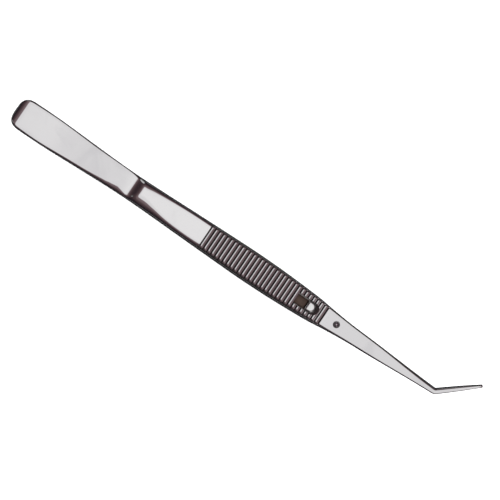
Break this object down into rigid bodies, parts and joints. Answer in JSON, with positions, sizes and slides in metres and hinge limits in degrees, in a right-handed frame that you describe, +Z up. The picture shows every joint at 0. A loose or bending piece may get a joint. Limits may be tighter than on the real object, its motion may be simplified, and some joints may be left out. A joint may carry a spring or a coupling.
{
  "type": "aquascaping tweezers",
  "caption": "Long polished steel tweezers with ribbed grips, tips bent sideways, a guide pin, and a spring catch that locks the arms closed; shown closed.",
  "frame": {"origin": "centre of the smooth, flat part of the lower arm's outer face, between the shoulder and the ribs", "axes": "+X along the tweezers from the tail to the tips, +Y the way the tips bend, +Z up through the upper arm, the way it opens"},
  "size_m": [0.161, 0.0145, 0.0093],
  "materials": {
    "polished_steel": "mirror-polished stainless steel",
    "spring_steel": "satin spring steel strip",
    "rivet_steel": "ground and polished pin and rivet steel"
  },
  "bodies": {
    "heel": {"upper_tail": "polished_steel", "lower_tail": "polished_steel"},
    "upper_arm": {"upper_spring": "polished_steel", "upper_arm": "polished_steel"},
    "lower_arm": {"lower_spring": "polished_steel", "lower_arm": "polished_steel", "catch_foot": "spring_steel", "catch_rivets": "rivet_steel", "guide_pin": "rivet_steel"},
    "catch": {"catch_hook": "polished_steel"}
  },
  "joints": [
    {"name": "upper_arm_flex", "type": "hinge", "parent": "heel", "child": "upper_arm", "pos_m": [-0.0293, 0, 0.00577], "axis": [0, -1, 0], "range_deg": [0, 2.5], "stiffness_Nm_per_rad": 3.5, "springref_deg": 2.5, "deforming": ["upper_spring"]},
    {"name": "lower_arm_flex", "type": "hinge", "parent": "heel", "child": "lower_arm", "pos_m": [-0.0293, 0, 0.00263], "axis": [0, 1, 0], "range_deg": [0, 2.5], "stiffness_Nm_per_rad": 3.5, "springref_deg": 2.5, "deforming": ["lower_spring"]},
    {"name": "catch_swing", "type": "hinge", "parent": "lower_arm", "child": "catch", "pos_m": [0.04865, 0, 0.00285], "axis": [0, 1, 0], "range_deg": [-8, 4.9], "stiffness_Nm_per_rad": 0.02, "springref_deg": 4.9}
  ],
  "couplings": [
    {"joint": "upper_arm_flex", "follows": "lower_arm_flex", "ratio": 1}
  ]
}
